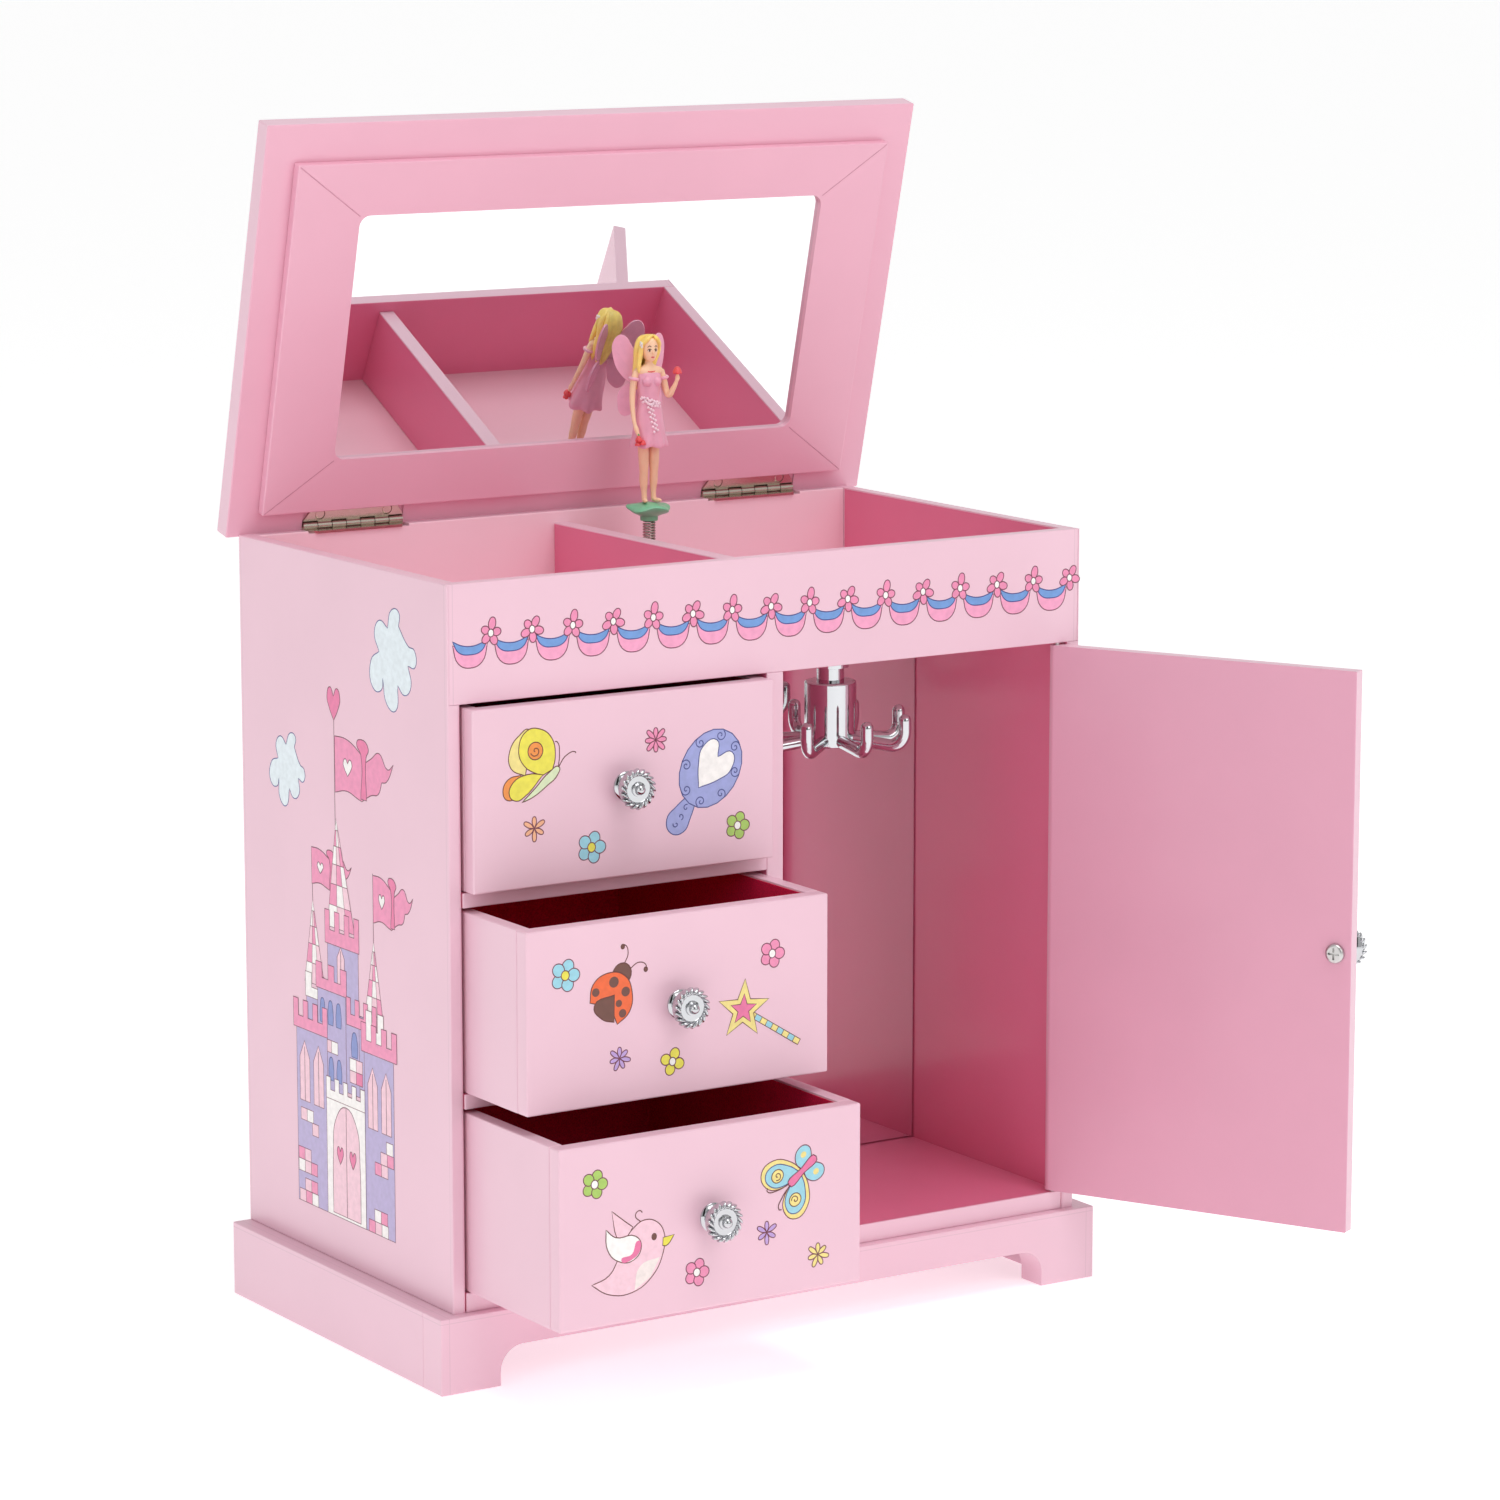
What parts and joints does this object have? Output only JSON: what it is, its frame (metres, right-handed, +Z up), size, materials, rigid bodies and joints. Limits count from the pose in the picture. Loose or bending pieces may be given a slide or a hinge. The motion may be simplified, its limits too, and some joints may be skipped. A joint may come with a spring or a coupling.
{
  "type": "ballerina jewellery box",
  "caption": "Upright jewellery box with a hinged mirror lid over a divided tray, a side door cabinet with a spinning necklace carousel, drawers and a wind-up dancer.",
  "frame": {"origin": "middle of the back bottom edge, on the floor the box stands on", "axes": "+Z up, -Y towards the front of the box, +X towards the door side"},
  "size_m": [0.3102, 0.2606, 0.4075],
  "materials": {
    "pink_board": "fibreboard wrapped in pale pink printed paper with a gloss film",
    "drawer_card": "card covered in crimson flock",
    "mirror_glass": "silvered float glass",
    "hinge_nickel": "nickel-plated stamped steel",
    "screw_steel": "zinc-plated steel",
    "chrome": "bright chrome plate",
    "spring_steel": "drawn spring steel",
    "leaf_plastic": "painted green",
    "doll_plastic": "moulded and hand painted",
    "wing_plastic": "translucent pink",
    "brass": "turned brass",
    "cast_zinc": "die-cast",
    "key_steel": "nickel-plated steel"
  },
  "bodies": {
    "case": {"side_panel_left": "pink_board", "side_panel_right": "pink_board", "back_panel": "pink_board", "fascia": "pink_board", "tray_floor": "pink_board", "tray_divider": "pink_board", "partition": "pink_board", "shelf_upper": "pink_board", "shelf_lower": "pink_board", "bottom_board": "pink_board", "cabinet_back": "pink_board", "cabinet_mirror": "mirror_glass", "plinth_front": "pink_board", "plinth_left": "pink_board", "plinth_right": "pink_board", "plinth_back": "pink_board", "hinge_leaves_case": "hinge_nickel", "hinge_pins": "hinge_nickel", "hinge_screws_case": "screw_steel", "carousel_stud": "chrome", "spindle_bush": "brass", "movement_frame": "cast_zinc", "movement_screws": "screw_steel", "comb": "spring_steel", "spring_barrel": "brass", "mainspring": "spring_steel"},
    "lid": {"lid_board": "pink_board", "lid_frame": "pink_board", "lid_mirror": "mirror_glass", "hinge_leaves_lid": "hinge_nickel", "hinge_screws_lid": "screw_steel"},
    "door": {"door_panel": "pink_board", "door_pins": "hinge_nickel", "door_knob": "chrome", "door_knob_screw": "screw_steel"},
    "drawer_1": {"drawer_1_front": "pink_board", "drawer_1_walls": "pink_board", "drawer_1_bottom": "drawer_card", "drawer_1_knob": "chrome", "drawer_1_screw": "screw_steel"},
    "drawer_2": {"drawer_2_front": "pink_board", "drawer_2_walls": "pink_board", "drawer_2_bottom": "drawer_card", "drawer_2_knob": "chrome", "drawer_2_screw": "screw_steel"},
    "drawer_3": {"drawer_3_front": "pink_board", "drawer_3_walls": "pink_board", "drawer_3_bottom": "drawer_card", "drawer_3_knob": "chrome", "drawer_3_screw": "screw_steel"},
    "carousel": {"carousel_hub": "chrome", "carousel_hooks": "chrome"},
    "cylinder": {"music_cylinder": "brass"},
    "great_wheel": {"great_wheel": "brass"},
    "governor": {"governor": "brass"},
    "winding_key": {"winding_key": "key_steel"},
    "spring": {"figurine_spring": "spring_steel"},
    "dancer": {"leaf_base": "leaf_plastic", "dancer": "doll_plastic", "dancer_wings": "wing_plastic"}
  },
  "joints": [
    {"name": "lid_hinge", "type": "hinge", "parent": "case", "child": "lid", "pos_m": [0, 0.0006, 0.2667], "axis": [1, 0, 0], "range_deg": [0, 75.9]},
    {"name": "door_hinge", "type": "hinge", "parent": "case", "child": "door", "pos_m": [0.1168, -0.1413, 0.1287], "axis": [0, 0, 1], "range_deg": [-117, 0]},
    {"name": "drawer_1_slide", "type": "slide", "parent": "case", "child": "drawer_1", "axis": [0, -1, 0], "range_m": [-0.0055, 0.0945]},
    {"name": "drawer_2_slide", "type": "slide", "parent": "case", "child": "drawer_2", "axis": [0, -1, 0], "range_m": [-0.038, 0.062]},
    {"name": "drawer_3_slide", "type": "slide", "parent": "case", "child": "drawer_3", "axis": [0, -1, 0], "range_m": [-0.0575, 0.0425]},
    {"name": "carousel_spin", "type": "hinge", "parent": "case", "child": "carousel", "pos_m": [0.05695, -0.09042, 0.2007], "axis": [0, 0, 1], "continuous": true},
    {"name": "cylinder_spin", "type": "hinge", "parent": "case", "child": "cylinder", "pos_m": [0.0205, -0.0305, 0.1757], "axis": [0, 0, 1], "continuous": true},
    {"name": "great_wheel_spin", "type": "hinge", "parent": "case", "child": "great_wheel", "pos_m": [0.0205, -0.0235, 0.2057], "axis": [0, 1, 0], "continuous": true},
    {"name": "governor_spin", "type": "hinge", "parent": "case", "child": "governor", "pos_m": [0.01158, -0.02247, 0.1757], "axis": [0, 0, 1], "continuous": true},
    {"name": "winding_key_turn", "type": "hinge", "parent": "case", "child": "winding_key", "pos_m": [0.0205, 0, 0.2057], "axis": [0, -1, 0], "range_deg": [0, 1440]},
    {"name": "spring_bend", "type": "hinge", "parent": "case", "child": "spring", "pos_m": [0.0205, -0.0305, 0.2492], "axis": [1, 0, 0], "range_deg": [0, 90], "deforming": ["figurine_spring"]},
    {"name": "dancer_spin", "type": "hinge", "parent": "spring", "child": "dancer", "pos_m": [0.0205, -0.0305, 0.2637], "axis": [0, 0, 1], "continuous": true}
  ],
  "couplings": [
    {"joint": "great_wheel_spin", "follows": "cylinder_spin", "ratio": -0.5},
    {"joint": "governor_spin", "follows": "cylinder_spin", "ratio": -3},
    {"joint": "dancer_spin", "follows": "cylinder_spin", "ratio": 1},
    {"joint": "spring_bend", "follows": "lid_hinge", "ratio": 1.185}
  ]
}
